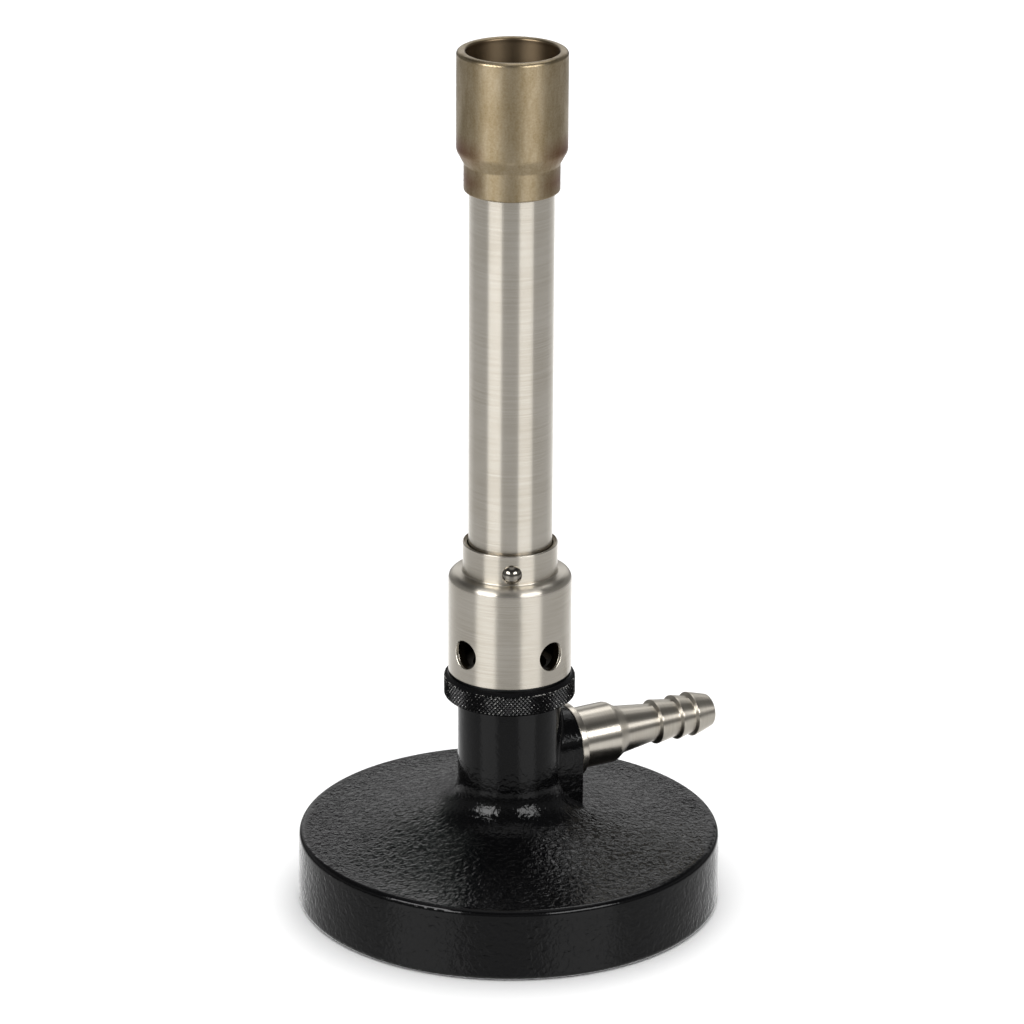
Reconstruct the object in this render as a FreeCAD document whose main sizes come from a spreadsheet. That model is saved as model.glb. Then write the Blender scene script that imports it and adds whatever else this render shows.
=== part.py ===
import FreeCAD, Part
import math
import operator
import os
from types import SimpleNamespace

import Sketcher

# Driving sizes of the burner, in millimetres and degrees.
SIZES = {
    # Cast foot, column and boss
    "base_radius": 41.0,
    "rim_draft": 0.3,
    "rim_height": 14.2,
    "rim_round": 1.15,
    "foot_round": 1.2,
    "dish_land": 2.7,
    "dish_rise": 5.44,
    "column_lap": 0.55,
    "column_top": 41.4,
    "column_foot_round": 8.0,
    "column_bevel": 0.4,
    "boss_half_width": 7.2,
    "boss_reach": 2.45,
    "boss_foot_round": 1.2,
    "base_wall": 4.0,
    "core_foot_radius": 15.0,
    "core_foot_rise": 3.0,
    "core_radius": 6.0,
    "core_floor": 5.0,
    # Gas way through the casting
    "nozzle_height": 29.4,
    "gas_way_radius": 2.2,
    "well_lap": 0.5,
    "thread_gap": 0.05,
    # Hose nozzle
    "nozzle_bore_radius": 2.0,
    "nozzle_spigot_radius": 4.5,
    "nozzle_spigot_length": 5.5,
    "nozzle_flange_radius": 7.4,
    "nozzle_flange_width": 1.4,
    "nozzle_flange_round": 0.2,
    "nozzle_cove": 0.4,
    "nozzle_shoulder_radius": 6.0,
    "nozzle_shoulder_length": 8.3,
    "nozzle_taper_length": 2.0,
    "stem_radius": 4.75,
    "stem_length": 7.9,
    "barb_root_radius": 3.7,
    "barb_crest_radius": 4.4,
    "barb_back": 0.4,
    "barb_land": 0.25,
    "first_barb_length": 4.15,
    "second_barb_length": 2.85,
    "tip_barb_length": 4.35,
    "tip_radius": 3.15,
    "tip_round": 0.5,
    "nozzle_seal_lap": 1.4,
    "nozzle_seal_thickness": 0.7,
    # Jet carrier and gas jet
    "carrier_spigot_radius": 5.0,
    "carrier_spigot_length": 7.0,
    "carrier_thread_radius": 7.0,
    "carrier_thread_length": 6.6,
    "carrier_seat_depth": 2.8,
    "carrier_seat_gap": 0.3,
    "carrier_seal_thickness": 0.8,
    "seal_gap": 0.1,
    "jet_spigot_radius": 2.5,
    "jet_spigot_length": 4.5,
    "jet_hex_radius": 4.0,
    "jet_hex_height": 2.8,
    "jet_nose_radius": 2.6,
    "jet_nose_length": 2.6,
    "jet_tip_radius": 1.2,
    "jet_bore_radius": 1.4,
    "jet_orifice_radius": 0.45,
    "jet_orifice_length": 1.0,
    "jet_seal_thickness": 0.6,
    # Burner tube
    "tube_radius": 8.0,
    "tube_wall": 1.0,
    "tube_length": 102.6,
    "pilot_radius": 0.7,
    "pilot_rise": 2.0,
    # Mixer body
    "socket_wall": 2.89,
    "socket_depth": 7.8,
    "throat_length": 1.4,
    "mixer_wall": 1.34,
    "mixer_neck_step": 1.54,
    "mixer_shoulder_lift": 0.3,
    "chamber_floor": 1.0,
    # Air ports, in the mixer body and in the collar
    "port_radius": 2.8,
    "port_rise": 5.7,
    "port_lead": 40.5,
    # Knurled lock ring and its keyed washer
    "ring_lift": 0.65,
    "ring_height": 4.6,
    "ring_wall": 3.2,
    "ring_bevel": 0.75,
    "ring_foot_bevel": 0.35,
    "washer_thickness": 0.4,
    "washer_lap": 0.3,
    "washer_gap": 0.1,
    "lock_gap": 0.15,
    "key_width": 2.0,
    "key_depth": 0.8,
    # Air collar
    "collar_wall": 0.8,
    "collar_height": 20.1,
    "collar_roof": 1.0,
    "collar_round": 1.5,
    "collar_land": 0.3,
    "collar_neck_wall": 0.77,
    "collar_neck_height": 6.0,
    "running_gap": 0.06,
    "roof_gap": 0.1,
    "neck_gap": 0.3,
    # Guide pin and the groove that limits the collar's turn
    "pin_angle": -117.5,
    "pin_rise": 2.3,
    "pin_tail_radius": 0.9,
    "pin_head_radius": 1.9,
    "pin_head_gap": 0.05,
    "pin_seat_depth": 0.22,
    "pin_rim": 0.12,
    "pin_dome": 1.4,
    "groove_depth": 0.55,
    "groove_gap": 0.12,
    "collar_turn": 45.0,
    # Flame stabilizing head
    "head_height": 26.8,
    "head_neck_height": 5.3,
    "head_neck_wall": 0.98,
    "head_cone_height": 2.6,
    "head_cone_round": 3.0,
    "head_step_height": 6.6,
    "head_wall": 1.72,
    "head_round": 0.7,
    "head_foot_round": 0.4,
    "pilot_slot": 0.7,
    "tube_recess": 8.7,
}
PORT_COUNT = 4
PILOT_COUNT = 8
HEX_SIDES = 6
FULL_TURN = 360
NEAR = 1e-4

ARITHMETIC = {"+": operator.add, "-": operator.sub, "*": operator.mul, "/": operator.truediv}


class Size:
    """A size as a number, together with the formula that ties it to the sheet."""

    def __init__(self, value, formula):
        self.value = value
        self.formula = formula

    def __add__(self, other):
        return combined(self, "+", other)

    def __sub__(self, other):
        return combined(self, "-", other)

    def __mul__(self, other):
        return combined(self, "*", other)

    def __truediv__(self, other):
        return combined(self, "/", other)

    def __neg__(self):
        return combined(0, "-", self)


def as_size(number):
    return number if isinstance(number, Size) else Size(number, str(number))


def combined(left, sign, right):
    left = as_size(left)
    right = as_size(right)
    value = ARITHMETIC[sign](left.value, right.value)
    return Size(value, f"({left.formula} {sign} {right.formula})")


def smaller(first, second):
    return Size(min(first.value, second.value), f"min({first.formula}; {second.formula})")


def angle_of_sine(size):
    return Size(math.degrees(math.asin(size.value)), f"(asin({size.formula}) / 1 deg)")


def fill_sheet(doc):
    """Spreadsheet of the driving sizes, one named cell each."""
    sheet = doc.addObject("Spreadsheet::Sheet", "sizes")
    for row, (name, value) in enumerate(SIZES.items(), start=1):
        sheet.set(f"A{row}", name)
        sheet.set(f"B{row}", str(value))
        sheet.setAlias(f"B{row}", name)
    doc.recompute()
    return SimpleNamespace(**{name: Size(value, f"sizes.{name}") for name, value in SIZES.items()})


doc = FreeCAD.newDocument("bunsen_burner")
s = fill_sheet(doc)

# Radii that several pieces share, all from the burner tube outwards.
tube_bore = s.tube_radius - s.tube_wall
socket_radius = s.tube_radius + s.thread_gap
mixer_radius = socket_radius + s.socket_wall
mixer_neck_radius = mixer_radius - s.mixer_neck_step
column_radius = mixer_neck_radius + s.column_lap
collar_bore = mixer_radius + s.running_gap
collar_radius = collar_bore + s.collar_wall
collar_neck_bore = s.tube_radius + s.neck_gap
collar_neck_radius = collar_neck_bore + s.collar_neck_wall
washer_bore = mixer_neck_radius + s.washer_gap

# Heights of the stack on the burner's axis, from the column upwards.
carrier_seat = s.column_top - s.carrier_seat_depth
carrier_foot = carrier_seat + s.carrier_seal_thickness
carrier_top = carrier_foot + s.carrier_thread_length
jet_foot = carrier_top + s.jet_seal_thickness
ring_foot = s.column_top + s.ring_lift
washer_foot = ring_foot + s.ring_height
collar_foot = washer_foot + s.washer_thickness + s.lock_gap
mixer_shoulder = collar_foot + s.mixer_shoulder_lift
port_height = collar_foot + s.port_rise
collar_shoulder = collar_foot + s.collar_height
pin_height = collar_shoulder + s.pin_rise
mixer_top = collar_shoulder - s.collar_roof - s.roof_gap
tube_foot = mixer_top - s.socket_depth
tube_top = tube_foot + s.tube_length
head_foot = tube_top + s.tube_recess - s.head_height
head_step = head_foot + s.head_step_height

# The boss and the nozzle's own radii.
boss_face = column_radius + s.boss_reach
nozzle_hole_radius = s.nozzle_spigot_radius + s.thread_gap
nozzle_seal_radius = nozzle_hole_radius + s.nozzle_seal_lap


def new_body(name):
    body = doc.addObject("PartDesign::Body", name)
    body.Label = name
    return body


def sketch_on(body, name, role):
    """Empty sketch on one of the body's own origin planes."""
    sketch = body.newObject("Sketcher::SketchObject", name)
    plane = next(feature for feature in body.Origin.OriginFeatures if feature.Role == role)
    sketch.AttachmentSupport = (plane, "")
    sketch.MapMode = "FlatFace"
    return sketch


def bind(sketch, constraint, size):
    index = sketch.addConstraint(constraint)
    sketch.setExpression(f"Constraints[{index}]", size.formula)


def pin_point(sketch, geometry, point, across, up):
    """Fixes a point at sizes from the sketch's origin; a plain 0 puts it on that axis."""
    for kind, axis, size in (("DistanceX", -2, across), ("DistanceY", -1, up)):
        if not isinstance(size, Size):
            sketch.addConstraint(Sketcher.Constraint("PointOnObject", geometry, point, axis))
        elif size.value < 0:
            flipped = -size
            bind(sketch, Sketcher.Constraint(kind, geometry, point, -1, 1, flipped.value), flipped)
        else:
            bind(sketch, Sketcher.Constraint(kind, -1, 1, geometry, point, size.value), size)


def arc_between(start, end, radius, turn):
    """Arc under half a circle; turn is 1 where it bends left on the way, -1 where it bends right."""
    chord = end - start
    left = FreeCAD.Vector(-chord.y, chord.x, 0).normalize()
    rise = math.sqrt(max(radius ** 2 - (chord.Length / 2) ** 2, 0))
    centre = (start + end) / 2 + left * (turn * rise)
    first, last = (start, end) if turn > 0 else (end, start)
    angles = [math.atan2(point.y - centre.y, point.x - centre.x) for point in (first, last)]
    circle = Part.Circle(centre, FreeCAD.Vector(0, 0, 1), radius)
    return Part.ArcOfCircle(circle, *angles)


def outline(sketch, corners, arcs=None):
    """Closed outline through corners; arcs gives (radius, turn) for the side that leaves a corner."""
    arcs = arcs or {}
    places = [FreeCAD.Vector(as_size(x).value, as_size(y).value, 0) for x, y in corners]
    sides = []
    for index, start in enumerate(places):
        end = places[(index + 1) % len(places)]
        if index in arcs:
            radius, turn = arcs[index]
            geometry = sketch.addGeometry(arc_between(start, end, radius.value, turn), False)
            sides.append((geometry, 1, 2) if turn > 0 else (geometry, 2, 1))
        else:
            geometry = sketch.addGeometry(Part.LineSegment(start, end), False)
            sides.append((geometry, 1, 2))
    for index, (geometry, start, end) in enumerate(sides):
        following, next_start, _ = sides[(index + 1) % len(sides)]
        sketch.addConstraint(Sketcher.Constraint("Coincident", geometry, end, following, next_start))
        pin_point(sketch, geometry, start, *corners[index])
    for index, (radius, _) in arcs.items():
        bind(sketch, Sketcher.Constraint("Radius", sides[index][0], radius.value), radius)


def disc(sketch, across, up, radius):
    """Circle with its centre and radius bound to the sheet."""
    centre = FreeCAD.Vector(as_size(across).value, as_size(up).value, 0)
    circle = Part.Circle(centre, FreeCAD.Vector(0, 0, 1), radius.value)
    geometry = sketch.addGeometry(circle, False)
    pin_point(sketch, geometry, 3, across, up)
    bind(sketch, Sketcher.Constraint("Radius", geometry, radius.value), radius)


def revolve(body, kind, name, sketch, axis="V_Axis"):
    """Full turn of a sketch about one of its own axes: a Revolution adds, a Groove cuts."""
    feature = body.newObject(f"PartDesign::{kind}", name)
    feature.Profile = sketch
    feature.ReferenceAxis = (sketch, [axis])
    feature.Angle = FULL_TURN
    sketch.Visibility = False
    doc.recompute()
    return feature


def extrude(body, kind, name, sketch, length, reverse=False):
    """Straight run of a sketch: a Pad adds along the plane's normal, a Pocket cuts against it."""
    feature = body.newObject(f"PartDesign::{kind}", name)
    feature.Profile = sketch
    feature.setExpression("Length", length.formula)
    feature.Reversed = reverse
    sketch.Visibility = False
    doc.recompute()
    return feature


def dress(body, kind, name, base, edges, size):
    """Fillet or Chamfer of the named edges."""
    feature = body.newObject(f"PartDesign::{kind}", name)
    feature.Base = (base, edges)
    feature.setExpression("Radius" if kind == "Fillet" else "Size", size.formula)
    doc.recompute()
    return feature


def around_axis(body, name, feature, count):
    """Copies a feature evenly round the body's upright axis."""
    pattern = body.newObject("PartDesign::PolarPattern", name)
    pattern.Originals = [feature]
    axis = next(item for item in body.Origin.OriginFeatures if item.Role == "Z_Axis")
    pattern.Axis = (axis, [""])
    pattern.Angle = FULL_TURN
    pattern.Occurrences = count
    body.Tip = pattern
    doc.recompute()
    return pattern


def edges_where(feature, test):
    return [f"Edge{i}" for i, edge in enumerate(feature.Shape.Edges, start=1) if test(edge)]


def round_edges(feature, radius, height=None):
    """Names of the upright-axis circles of this radius, at this height where one is given."""
    def matches(edge):
        curve = edge.Curve
        if not isinstance(curve, Part.Circle) or abs(curve.Radius - radius.value) > NEAR:
            return False
        return height is None or abs(curve.Center.z - as_size(height).value) < NEAR
    return edges_where(feature, matches)


def turned_piece(name, profile, arcs=None):
    """Piece made by turning one outline, in radius and height, about the burner's axis."""
    body = new_body(name)
    sketch = sketch_on(body, f"{name}_profile", "XZ_Plane")
    outline(sketch, profile, arcs)
    revolve(body, "Revolution", f"{name}_turning", sketch)
    return body


def flat_ring(name, bore, radius, foot, thickness):
    return turned_piece(name, [
        (bore, foot),
        (radius, foot),
        (radius, foot + thickness),
        (bore, foot + thickness),
    ])


def turn_about_axis(body, angle):
    """Turns a finished body about the burner's axis by a bound angle."""
    body.Placement = FreeCAD.Placement(
        FreeCAD.Vector(), FreeCAD.Rotation(FreeCAD.Vector(0, 0, 1), angle.value))
    body.setExpression("Placement.Rotation.Angle", f"{angle.formula} * 1 deg")


def bore_ports(body, reach):
    """Four round air ports through a wall, square to the burner's axis."""
    sketch = sketch_on(body, f"{body.Label}_port", "XZ_Plane")
    disc(sketch, 0, port_height, s.port_radius)
    port = extrude(body, "Pocket", f"{body.Label}_port_cut", sketch, reach)
    around_axis(body, f"{body.Label}_ports", port, PORT_COUNT)
    return sketch


def make_base_casting():
    """Hollow dished foot that sweeps up into the column, with the boss for the nozzle."""
    body = new_body("base_casting")
    rim_radius = s.base_radius - s.rim_draft
    dish_radius = rim_radius - s.dish_land
    span = dish_radius - column_radius
    dish_top = s.rim_height + s.dish_rise
    dish_sweep = (span * span + s.dish_rise * s.dish_rise) / (s.dish_rise * 2)
    profile = sketch_on(body, "base_profile", "XZ_Plane")
    outline(profile, [
        (0, 0),
        (s.base_radius, 0),
        (rim_radius, s.rim_height),
        (dish_radius, s.rim_height),
        (column_radius, dish_top),
        (column_radius, s.column_top),
        (0, s.column_top),
    ], {3: (dish_sweep, -1)})
    solid = revolve(body, "Revolution", "base_turning", profile)
    foot = round_edges(solid, column_radius, dish_top)
    solid = dress(body, "Fillet", "column_foot", solid, foot, s.column_foot_round)
    rim = round_edges(solid, rim_radius, s.rim_height)
    solid = dress(body, "Fillet", "rim_edge", solid, rim, s.rim_round)
    bottom = round_edges(solid, s.base_radius, 0)
    solid = dress(body, "Fillet", "foot_edge", solid, bottom, s.foot_round)
    crown = round_edges(solid, column_radius, s.column_top)
    dress(body, "Chamfer", "column_edge", solid, crown, s.column_bevel)

    block = sketch_on(body, "boss_block_outline", "YZ_Plane")
    outline(block, [
        (-s.boss_half_width, s.rim_height),
        (s.boss_half_width, s.rim_height),
        (s.boss_half_width, s.nozzle_height),
        (-s.boss_half_width, s.nozzle_height),
    ])
    extrude(body, "Pad", "boss_block", block, boss_face)
    arch = sketch_on(body, "boss_arch_outline", "YZ_Plane")
    disc(arch, 0, s.nozzle_height, s.boss_half_width)
    boss = extrude(body, "Pad", "boss_arch", arch, boss_face)

    def meets_dish(edge):
        low = edge.BoundBox.ZMax < s.nozzle_height.value
        upright = edge.BoundBox.XLength < NEAR and edge.BoundBox.YLength < NEAR
        beside = abs(edge.BoundBox.YMin) < s.boss_half_width.value + NEAR
        beyond = edge.BoundBox.XMin > 0 and edge.BoundBox.XMax < boss_face.value + NEAR
        return low and beside and beyond and not upright and edge.BoundBox.ZMin > s.rim_height.value
    dress(body, "Fillet", "boss_foot", boss, edges_where(boss, meets_dish), s.boss_foot_round)

    rise_radius = s.gas_way_radius + s.well_lap
    way_floor = s.nozzle_height - rise_radius
    cavity = sketch_on(body, "underside_profile", "XZ_Plane")
    ceiling = s.rim_height - s.base_wall
    outline(cavity, [
        (0, 0),
        (s.base_radius - s.base_wall, 0),
        (rim_radius - s.base_wall, ceiling),
        (s.core_foot_radius, ceiling + s.core_foot_rise),
        (s.core_radius, way_floor - s.core_floor),
        (0, way_floor - s.core_floor),
    ])
    revolve(body, "Groove", "underside", cavity)

    well = sketch_on(body, "well_profile", "XZ_Plane")
    well_radius = s.carrier_spigot_radius + s.thread_gap
    well_foot = carrier_foot - s.carrier_spigot_length - s.seal_gap
    seat_radius = s.carrier_thread_radius + s.carrier_seat_gap
    outline(well, [
        (0, way_floor),
        (rise_radius, way_floor),
        (rise_radius, well_foot),
        (well_radius, well_foot),
        (well_radius, carrier_seat),
        (seat_radius, carrier_seat),
        (seat_radius, s.column_top),
        (0, s.column_top),
    ])
    revolve(body, "Groove", "carrier_well", well)

    steps = (
        ("gas_way", s.gas_way_radius, boss_face),
        ("nozzle_hole", nozzle_hole_radius, s.nozzle_spigot_length),
        ("nozzle_seal_seat", nozzle_seal_radius, s.nozzle_seal_thickness),
    )
    for name, radius, depth in steps:
        hole = sketch_on(body, f"{name}_outline", "YZ_Plane")
        hole.setExpression("AttachmentOffset.Base.z", boss_face.formula)
        disc(hole, 0, s.nozzle_height, radius)
        extrude(body, "Pocket", name, hole, depth)
    return body


def make_hose_nozzle():
    """Turned barb; its outline is drawn along the nozzle from the end of the screwed spigot."""
    body = new_body("hose_nozzle")
    seat = s.nozzle_spigot_length
    shoulder = seat + s.nozzle_flange_width
    taper = shoulder + s.nozzle_shoulder_length
    stem = taper + s.nozzle_taper_length
    corners = [
        (0, s.nozzle_bore_radius),
        (0, s.nozzle_spigot_radius),
        (seat, s.nozzle_spigot_radius),
        (seat, s.nozzle_flange_radius),
        (shoulder - s.nozzle_flange_round, s.nozzle_flange_radius),
        (shoulder, s.nozzle_flange_radius - s.nozzle_flange_round),
        (shoulder, s.nozzle_shoulder_radius + s.nozzle_cove),
        (shoulder + s.nozzle_cove, s.nozzle_shoulder_radius),
        (taper, s.nozzle_shoulder_radius),
        (stem, s.stem_radius),
    ]
    place = stem + s.stem_length
    for length in (s.first_barb_length, s.second_barb_length, s.tip_barb_length):
        corners.append((place, s.barb_root_radius))
        crest = place + s.barb_back
        corners.append((crest, s.barb_crest_radius))
        corners.append((crest + s.barb_land, s.barb_crest_radius))
        place = crest + s.barb_land + length
    corners += [
        (place - s.tip_round, s.tip_radius),
        (place, s.tip_radius - s.tip_round),
        (place, s.nozzle_bore_radius),
    ]
    arcs = {
        4: (s.nozzle_flange_round, -1),
        6: (s.nozzle_cove, 1),
        len(corners) - 3: (s.tip_round, -1),
    }
    profile = sketch_on(body, "nozzle_profile", "XZ_Plane")
    outline(profile, corners, arcs)
    revolve(body, "Revolution", "nozzle_turning", profile, "H_Axis")
    body.setExpression("Placement.Base.x", (boss_face - s.nozzle_spigot_length).formula)
    body.setExpression("Placement.Base.z", s.nozzle_height.formula)
    return body


def make_nozzle_seal():
    """Flat seal in the boss, behind the nozzle's flange."""
    body = new_body("nozzle_seal")
    profile = sketch_on(body, "nozzle_seal_profile", "XZ_Plane")
    bore = nozzle_hole_radius + s.seal_gap
    radius = nozzle_seal_radius - s.seal_gap
    outline(profile, [
        (0, bore),
        (s.nozzle_seal_thickness, bore),
        (s.nozzle_seal_thickness, radius),
        (0, radius),
    ])
    revolve(body, "Revolution", "nozzle_seal_turning", profile, "H_Axis")
    body.setExpression("Placement.Base.x", (boss_face - s.nozzle_seal_thickness).formula)
    body.setExpression("Placement.Base.z", s.nozzle_height.formula)
    return body


def make_jet_carrier():
    """Brass nipple: a spigot in the column, a wider thread for the mixer body, a hole for the jet."""
    spigot_foot = carrier_foot - s.carrier_spigot_length
    jet_hole = s.jet_spigot_radius + s.thread_gap
    hole_floor = carrier_top - s.jet_spigot_length
    return turned_piece("jet_carrier", [
        (s.gas_way_radius, spigot_foot),
        (s.carrier_spigot_radius, spigot_foot),
        (s.carrier_spigot_radius, carrier_foot),
        (s.carrier_thread_radius, carrier_foot),
        (s.carrier_thread_radius, carrier_top),
        (jet_hole, carrier_top),
        (jet_hole, hole_floor),
        (s.gas_way_radius, hole_floor),
    ])


def primitive(kind, name, height, foot, **sizes):
    """Upright primitive on the burner's axis."""
    piece = doc.addObject(f"Part::{kind}", name)
    for key, size in dict(sizes, Height=height).items():
        piece.setExpression(key, size.formula)
    piece.setExpression("Placement.Base.z", foot.formula)
    return piece


def make_gas_jet():
    """Hexagonal jet with a screwed spigot, a tapered nose and a fine orifice."""
    spigot_foot = carrier_top - s.jet_spigot_length + s.seal_gap
    nose_foot = jet_foot + s.jet_hex_height
    tip = nose_foot + s.jet_nose_length
    orifice_foot = tip - s.jet_orifice_length
    hexagon = primitive("Prism", "jet_hexagon", s.jet_hex_height, jet_foot, Circumradius=s.jet_hex_radius)
    hexagon.Polygon = HEX_SIDES
    spigot = primitive("Cylinder", "jet_spigot", jet_foot - spigot_foot, spigot_foot,
                       Radius=s.jet_spigot_radius)
    nose = primitive("Cone", "jet_nose", s.jet_nose_length, nose_foot,
                     Radius1=s.jet_nose_radius, Radius2=s.jet_tip_radius)
    bore = primitive("Cylinder", "jet_bore", orifice_foot - spigot_foot, spigot_foot,
                     Radius=s.jet_bore_radius)
    orifice = primitive("Cylinder", "jet_orifice", tip - spigot_foot, spigot_foot,
                        Radius=s.jet_orifice_radius)
    blank = doc.addObject("Part::MultiFuse", "jet_blank")
    blank.Shapes = [spigot, hexagon, nose]
    passage = doc.addObject("Part::Fuse", "jet_passage")
    passage.Base = bore
    passage.Tool = orifice
    jet = doc.addObject("Part::Cut", "gas_jet")
    jet.Base = blank
    jet.Tool = passage
    jet.Label = "gas_jet"
    doc.recompute()
    return jet


def make_mixer_body():
    """Mixing chamber: a threaded neck for the lock ring, four air ports and the tube's socket."""
    body = new_body("mixer_body")
    neck_bore = s.carrier_thread_radius + s.thread_gap
    chamber_radius = mixer_radius - s.mixer_wall
    chamber_foot = mixer_shoulder + s.chamber_floor
    profile = sketch_on(body, "mixer_profile", "XZ_Plane")
    outline(profile, [
        (neck_bore, s.column_top),
        (mixer_neck_radius, s.column_top),
        (mixer_neck_radius, mixer_shoulder),
        (mixer_radius, mixer_shoulder),
        (mixer_radius, mixer_top),
        (socket_radius, mixer_top),
        (socket_radius, tube_foot),
        (tube_bore, tube_foot),
        (chamber_radius, tube_foot - s.throat_length),
        (chamber_radius, chamber_foot),
        (neck_bore, chamber_foot),
    ])
    revolve(body, "Revolution", "mixer_turning", profile)
    keyway = sketch_on(body, "keyway_outline", "XY_Plane")
    half_width = s.key_width / 2
    outline(keyway, [
        (mixer_neck_radius - s.key_depth, -half_width),
        (mixer_radius, -half_width),
        (mixer_radius, half_width),
        (mixer_neck_radius - s.key_depth, half_width),
    ])
    extrude(body, "Pocket", "keyway", keyway, mixer_shoulder, reverse=True)
    bore_ports(body, mixer_radius + s.collar_wall)
    turn_about_axis(body, s.pin_angle + s.port_lead)
    return body


def make_lock_ring():
    """Ring that screws on the mixer body's neck; its knurl is a surface finish."""
    bore = mixer_neck_radius + s.thread_gap
    radius = bore + s.ring_wall
    top = ring_foot + s.ring_height
    return turned_piece("lock_ring", [
        (bore, ring_foot),
        (radius - s.ring_foot_bevel, ring_foot),
        (radius, ring_foot + s.ring_foot_bevel),
        (radius, top - s.ring_bevel),
        (radius - s.ring_bevel, top),
        (bore, top),
    ])


def make_lock_washer():
    """Thin washer on the ring, whose tab slides in the mixer body's keyway and keeps it from turning."""
    body = flat_ring("lock_washer", washer_bore, collar_bore + s.washer_lap, washer_foot, s.washer_thickness)
    tab = sketch_on(body, "tab_outline", "XY_Plane")
    tab.setExpression("AttachmentOffset.Base.z", washer_foot.formula)
    half_width = s.key_width / 2 - s.washer_gap
    tab_end = mixer_neck_radius - s.key_depth + s.washer_gap
    outline(tab, [
        (tab_end, -half_width),
        (collar_bore, -half_width),
        (collar_bore, half_width),
        (tab_end, half_width),
    ])
    extrude(body, "Pad", "tab", tab, s.washer_thickness)
    turn_about_axis(body, s.pin_angle + s.port_lead)
    return body


def make_air_collar():
    """Thin turning sleeve with a rounded shoulder, a neck round the tube and four air ports."""
    body = new_body("air_collar")
    neck_top = collar_shoulder + s.collar_neck_height
    roof = collar_shoulder - s.collar_roof
    profile = sketch_on(body, "collar_profile", "XZ_Plane")
    outline(profile, [
        (collar_bore, collar_foot),
        (collar_radius, collar_foot),
        (collar_radius, collar_shoulder),
        (collar_neck_radius, collar_shoulder),
        (collar_neck_radius, neck_top),
        (collar_neck_bore, neck_top),
        (collar_neck_bore, roof),
        (collar_bore, roof),
    ])
    turning = revolve(body, "Revolution", "collar_turning", profile)
    edge = round_edges(turning, collar_radius, collar_shoulder)
    ledge = collar_radius - collar_neck_radius - s.collar_land
    dress(body, "Fillet", "collar_shoulder_edge", turning, edge, smaller(s.collar_round, ledge))

    seat = sketch_on(body, "pin_seat_outline", "YZ_Plane")
    seat.setExpression("AttachmentOffset.Base.z", (collar_neck_radius - s.pin_seat_depth).formula)
    disc(seat, 0, pin_height, s.pin_head_radius + s.pin_head_gap)
    extrude(body, "Pocket", "pin_seat", seat, s.collar_neck_wall, reverse=True)
    hole = sketch_on(body, "pin_hole_outline", "YZ_Plane")
    disc(hole, 0, pin_height, s.pin_tail_radius + s.thread_gap)
    extrude(body, "Pocket", "pin_hole", hole, collar_radius, reverse=True)

    port = bore_ports(body, collar_radius + s.collar_wall)
    port.AttachmentOffset = FreeCAD.Placement(
        FreeCAD.Vector(), FreeCAD.Rotation(FreeCAD.Vector(0, 1, 0), s.port_lead.value))
    port.setExpression("AttachmentOffset.Rotation.Angle", f"{s.port_lead.formula} * 1 deg")
    doc.recompute()
    turn_about_axis(body, s.pin_angle)
    return body


def make_guide_pin():
    """Domed pin in the collar's neck; its tail runs in the tube's groove."""
    body = new_body("guide_pin")
    tail_end = s.tube_radius - s.groove_depth + s.groove_gap
    seat = collar_neck_radius - s.pin_seat_depth
    rim = collar_neck_radius + s.pin_rim
    crown = collar_neck_radius + s.pin_dome
    rise = crown - rim
    dome_radius = (s.pin_head_radius * s.pin_head_radius + rise * rise) / (rise * 2)
    profile = sketch_on(body, "pin_profile", "XZ_Plane")
    outline(profile, [
        (tail_end, 0),
        (crown, 0),
        (rim, s.pin_head_radius),
        (seat, s.pin_head_radius),
        (seat, s.pin_tail_radius),
        (tail_end, s.pin_tail_radius),
    ], {1: (dome_radius, 1)})
    revolve(body, "Revolution", "pin_turning", profile, "H_Axis")
    turn_about_axis(body, s.pin_angle)
    body.setExpression("Placement.Base.z", pin_height.formula)
    return body


def make_burner_tube():
    """Straight tube with the collar's limit groove near its foot and pilot holes inside the head."""
    body = new_body("burner_tube")
    profile = sketch_on(body, "tube_profile", "XZ_Plane")
    outline(profile, [
        (tube_bore, tube_foot),
        (s.tube_radius, tube_foot),
        (s.tube_radius, tube_top),
        (tube_bore, tube_top),
    ])
    revolve(body, "Revolution", "tube_turning", profile)

    groove_floor = s.tube_radius - s.groove_depth
    groove_half = s.pin_tail_radius + s.groove_gap
    section = sketch_on(body, "groove_section", "XZ_Plane")
    outline(section, [
        (groove_floor, pin_height - groove_half),
        (s.tube_radius + s.groove_depth, pin_height - groove_half),
        (s.tube_radius + s.groove_depth, pin_height + groove_half),
        (groove_floor, pin_height + groove_half),
    ])
    groove = revolve(body, "Groove", "limit_groove", section)
    groove.Midplane = True
    end_angle = angle_of_sine((groove_half + s.groove_gap) / groove_floor)
    groove.setExpression("Angle", f"({(s.collar_turn + end_angle * 2).formula}) * 1 deg")
    doc.recompute()

    pilot = sketch_on(body, "pilot_outline", "XZ_Plane")
    disc(pilot, 0, head_step + s.pilot_rise, s.pilot_radius)
    hole = extrude(body, "Pocket", "pilot_hole", pilot, s.tube_radius + s.tube_wall)
    around_axis(body, "pilot_holes", hole, PILOT_COUNT)
    turn_about_axis(body, s.pin_angle + s.collar_turn / 2)
    return body


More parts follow.
